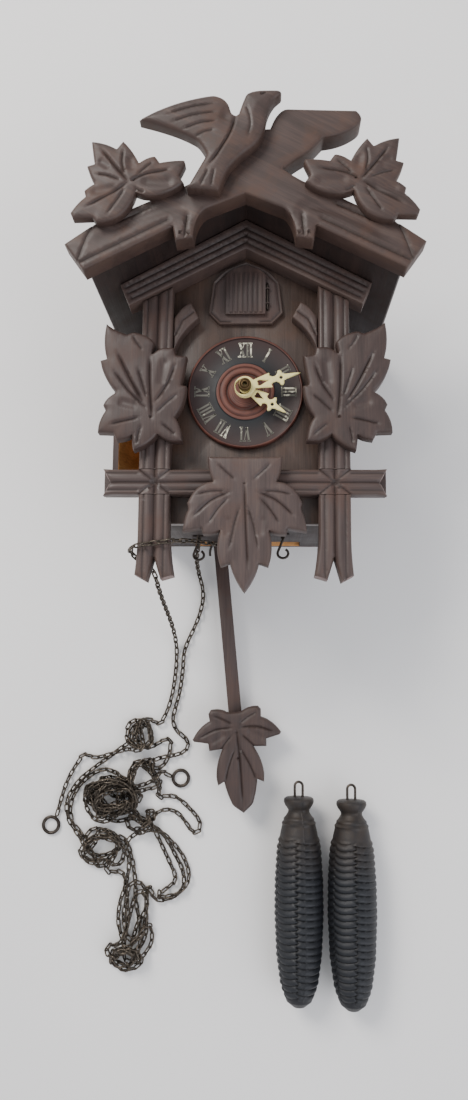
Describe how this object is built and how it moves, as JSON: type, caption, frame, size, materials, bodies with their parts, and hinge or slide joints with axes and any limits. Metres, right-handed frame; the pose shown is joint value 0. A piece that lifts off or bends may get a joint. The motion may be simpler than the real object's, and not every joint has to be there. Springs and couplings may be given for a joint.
{
  "type": "cuckoo clock",
  "caption": "Carved wooden cuckoo clock with gable roof, leaf carvings, pendulum, heaped chains and cone weights, laid on its back.",
  "frame": {"origin": "point of the case back straight behind the hand arbor; the back is the plane z = 0", "axes": "+Z out of the clock's front, +Y up the case, +X to the right as the dial is looked at; the clock lies on its back, so +Z is also up from the surface it lies on"},
  "size_m": [0.2411, 0.5378, 0.1583],
  "materials": {
    "stained_wood": "carved limewood, dark stain, worn satin wax",
    "roof_wood": "sawn board, dark stain",
    "raw_wood": "bare softwood, orange with age",
    "dial_paint": "turned wood, matt black chapter ring with cream numerals, red-brown centre",
    "ivory": "moulded ivory plastic",
    "bird_paint": "small carved bird, painted",
    "brass": "stamped and turned brass",
    "steel": "drawn steel wire, dulled",
    "chain_steel": "darkened steel chain",
    "cast_iron": "sand cast iron, blue-black paint, grimy"
  },
  "bodies": {
    "case": {"left_side_panel": "stained_wood", "right_side_panel": "stained_wood", "bottom_panel": "stained_wood", "front_panel": "stained_wood", "crest_board": "stained_wood", "crest_bird": "stained_wood", "left_crest_leaf": "stained_wood", "right_crest_leaf": "stained_wood", "gable_trim": "stained_wood", "left_post": "stained_wood", "right_post": "stained_wood", "crossbar": "stained_wood", "left_arch_brace": "stained_wood", "right_arch_brace": "stained_wood", "door_surround": "stained_wood", "left_side_leaf": "stained_wood", "right_side_leaf": "stained_wood", "lower_leaf": "stained_wood", "left_roof_board": "roof_wood", "right_roof_board": "roof_wood", "back_panel": "raw_wood", "left_whistle_box": "raw_wood", "right_whistle_box": "raw_wood", "dial": "dial_paint", "movement_front_plate": "brass", "movement_back_plate": "brass", "door_hinge_wire": "steel", "gong": "steel", "time_chain": "chain_steel", "strike_chain": "chain_steel", "time_chain_tail": "chain_steel", "strike_chain_tail": "chain_steel", "time_chain_loop": "chain_steel", "strike_chain_loop": "chain_steel", "time_chain_ring": "chain_steel", "strike_chain_ring": "chain_steel", "chain_heap": "chain_steel"},
    "minute_hand": {"minute_hand": "ivory", "hand_nut": "brass", "centre_arbor": "brass"},
    "hour_hand": {"hour_hand": "ivory", "hour_wheel": "brass"},
    "time_wheel": {"time_great_wheel": "brass"},
    "escape_wheel": {"escape_wheel": "brass"},
    "strike_wheel": {"strike_great_wheel": "brass"},
    "pin_wheel": {"pin_wheel": "brass"},
    "fly": {"fly": "brass"},
    "pendulum": {"anchor": "steel", "pendulum_hook": "steel", "pendulum_rod": "stained_wood"},
    "pendulum_leaf": {"pendulum_leaf": "stained_wood"},
    "hammer": {"hammer": "steel"},
    "left_bellows": {"left_bellows_lid": "raw_wood"},
    "right_bellows": {"right_bellows_lid": "raw_wood"},
    "cuckoo": {"cuckoo_bird": "bird_paint"},
    "cuckoo_door": {"cuckoo_door": "stained_wood"},
    "left_door": {"left_side_door": "stained_wood"},
    "right_door": {"right_side_door": "stained_wood"},
    "left_weight": {"left_weight": "cast_iron"},
    "right_weight": {"right_weight": "cast_iron"}
  },
  "joints": [
    {"name": "minute_spin", "type": "hinge", "parent": "case", "child": "minute_hand", "pos_m": [0, 0, 0.06], "axis": [0, 0, -1], "continuous": true},
    {"name": "hour_spin", "type": "hinge", "parent": "case", "child": "hour_hand", "pos_m": [0, 0, 0.06], "axis": [0, 0, -1], "continuous": true},
    {"name": "time_wheel_spin", "type": "hinge", "parent": "case", "child": "time_wheel", "pos_m": [0.013, -0.02, 0.06], "axis": [0, 0, -1], "continuous": true},
    {"name": "escape_spin", "type": "hinge", "parent": "case", "child": "escape_wheel", "pos_m": [0, 0.016, 0.06], "axis": [0, 0, -1], "continuous": true},
    {"name": "pin_wheel_spin", "type": "hinge", "parent": "case", "child": "pin_wheel", "pos_m": [-0.02, -0.0002, 0.06], "axis": [0, 0, -1], "continuous": true},
    {"name": "strike_wheel_spin", "type": "hinge", "parent": "case", "child": "strike_wheel", "pos_m": [-0.02, -0.02, 0.06], "axis": [0, 0, -1], "continuous": true},
    {"name": "fly_spin", "type": "hinge", "parent": "case", "child": "fly", "pos_m": [-0.02, 0.0142, 0.06], "axis": [0, 0, -1], "continuous": true},
    {"name": "pendulum_swing", "type": "hinge", "parent": "case", "child": "pendulum", "pos_m": [0, 0.03, 0.012], "axis": [0, 0, 1], "range_deg": [-4, 4]},
    {"name": "leaf_slide", "type": "slide", "parent": "pendulum", "child": "pendulum_leaf", "axis": [-0.0988, 0.9951, 0], "range_m": [-0.012, 0.012]},
    {"name": "hammer_swing", "type": "hinge", "parent": "case", "child": "hammer", "pos_m": [0.028, 0.03, 0.02], "axis": [0, 0, 1], "range_deg": [-14, 0]},
    {"name": "left_bellows_tilt", "type": "hinge", "parent": "case", "child": "left_bellows", "pos_m": [-0.0465, 0.0365, 0.044], "axis": [-1, 0, 0], "range_deg": [-5, 8]},
    {"name": "right_bellows_tilt", "type": "hinge", "parent": "case", "child": "right_bellows", "pos_m": [0.0465, 0.0365, 0.044], "axis": [-1, 0, 0], "range_deg": [-5, 8]},
    {"name": "cuckoo_slide", "type": "slide", "parent": "case", "child": "cuckoo", "axis": [0, 0, 1], "range_m": [0, 0.03]},
    {"name": "cuckoo_door_swing", "type": "hinge", "parent": "case", "child": "cuckoo_door", "pos_m": [0.0132, 0.06, 0.103], "axis": [0, 1, 0], "range_deg": [0, 100]},
    {"name": "left_door_swing", "type": "hinge", "parent": "case", "child": "left_door", "pos_m": [-0.06, -0.008, 0.0142], "axis": [0, -1, 0], "range_deg": [-20, 65]},
    {"name": "right_door_swing", "type": "hinge", "parent": "case", "child": "right_door", "pos_m": [0.06, -0.008, 0.0142], "axis": [0, 1, 0], "range_deg": [0, 85]},
    {"name": "left_weight_lift", "type": "slide", "parent": "case", "child": "left_weight", "axis": [0, 0, 1], "range_m": [0, 0.1]},
    {"name": "right_weight_lift", "type": "slide", "parent": "case", "child": "right_weight", "axis": [0, 0, 1], "range_m": [0, 0.1]}
  ],
  "couplings": [
    {"joint": "hour_spin", "follows": "minute_spin", "ratio": 0.083333},
    {"joint": "time_wheel_spin", "follows": "minute_spin", "ratio": -0.16667},
    {"joint": "escape_spin", "follows": "minute_spin", "ratio": -8.5},
    {"joint": "strike_wheel_spin", "follows": "pin_wheel_spin", "ratio": -0.14286},
    {"joint": "fly_spin", "follows": "pin_wheel_spin", "ratio": -6.6667},
    {"joint": "cuckoo_door_swing", "follows": "cuckoo_slide", "rad_per_m": 58.17}
  ]
}
